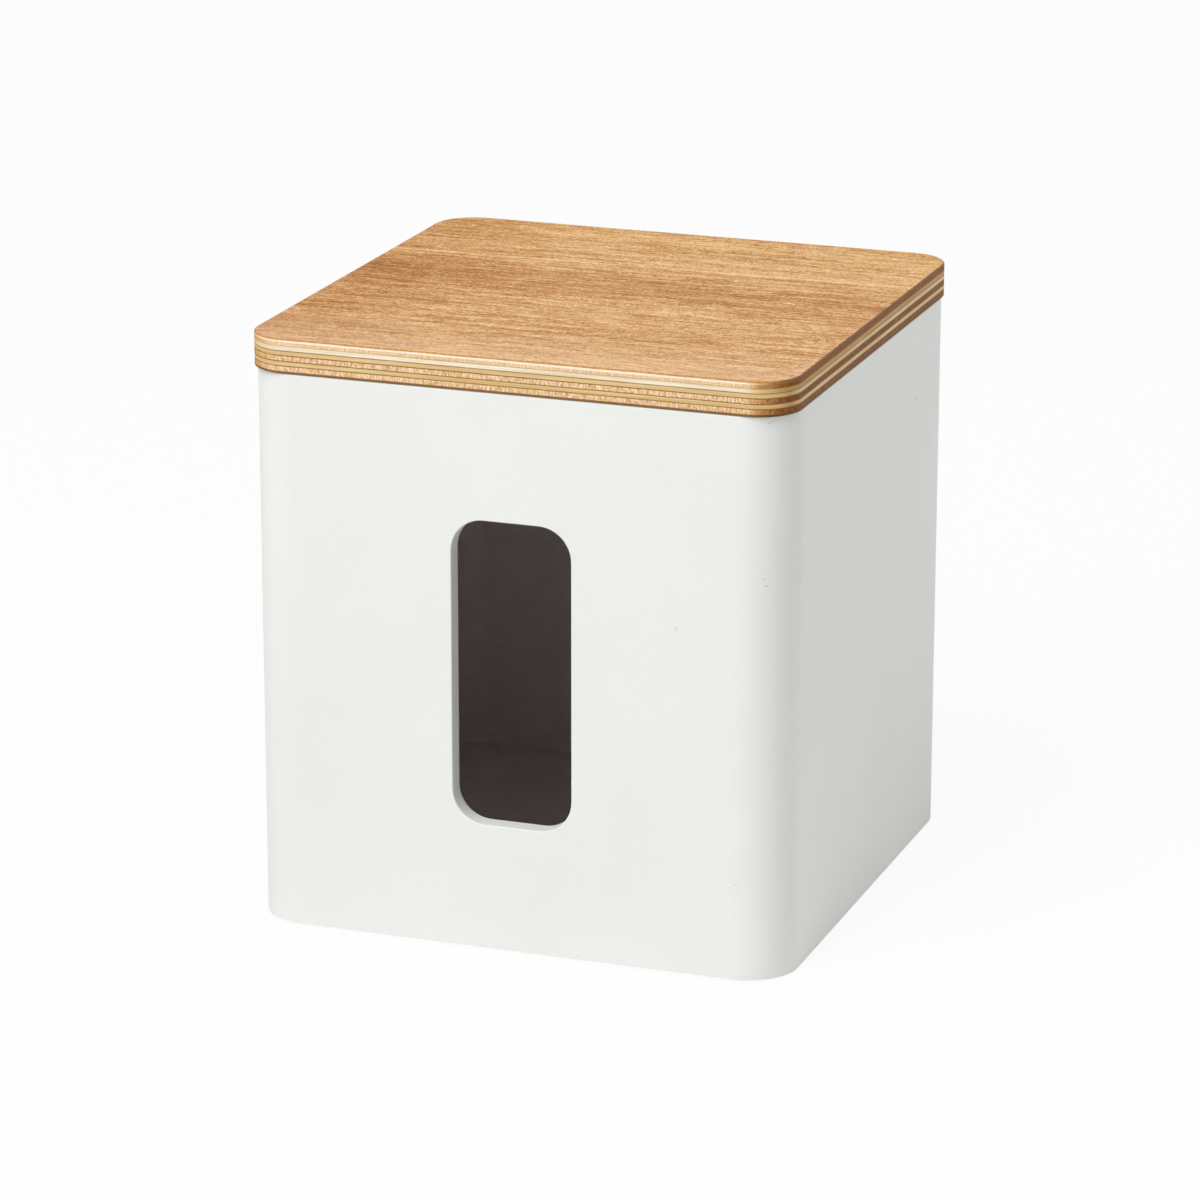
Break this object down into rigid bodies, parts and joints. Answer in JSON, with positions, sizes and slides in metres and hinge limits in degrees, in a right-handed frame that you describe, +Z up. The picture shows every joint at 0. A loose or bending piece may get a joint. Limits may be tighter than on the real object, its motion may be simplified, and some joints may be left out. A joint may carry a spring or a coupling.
{
  "type": "roll tissue box cover",
  "caption": "Square white tissue roll box with a tall rounded paper slot in its front and a lift-off plywood lid.",
  "frame": {"origin": "middle of the footprint, on the surface that the feet stand on", "axes": "+Z up, -Y out of the slotted front, +X to the right as seen from the front"},
  "size_m": [0.13, 0.13, 0.1404],
  "materials": {
    "white_paint": "matte white, smooth",
    "bare_board": "off-white board, unpainted",
    "foot_rubber": "soft grey non-slip pad",
    "face_wood": "fine-grained veneer, oiled",
    "ply_cross": "sanded end grain",
    "ply_cream": "sanded long grain",
    "ply_long": "sanded long grain",
    "back_wood": "brown backing veneer",
    "screw_steel": "zinc plated"
  },
  "bodies": {
    "box": {"body_shell": "white_paint", "base_panel": "bare_board", "foot_front_left": "foot_rubber", "foot_front_right": "foot_rubber", "foot_back_left": "foot_rubber", "foot_back_right": "foot_rubber"},
    "lid": {"face_veneer": "face_wood", "ply_1": "ply_cross", "ply_2": "ply_cream", "ply_3": "ply_long", "ply_4": "ply_cross", "ply_5": "ply_long", "ply_6": "ply_cross", "back_veneer": "back_wood", "lid_locator": "bare_board", "locator_screws": "screw_steel"}
  },
  "joints": [
    {"name": "lid_lift", "type": "slide", "parent": "box", "child": "lid", "axis": [0, 0, 1], "range_m": [0, 0.08]}
  ]
}
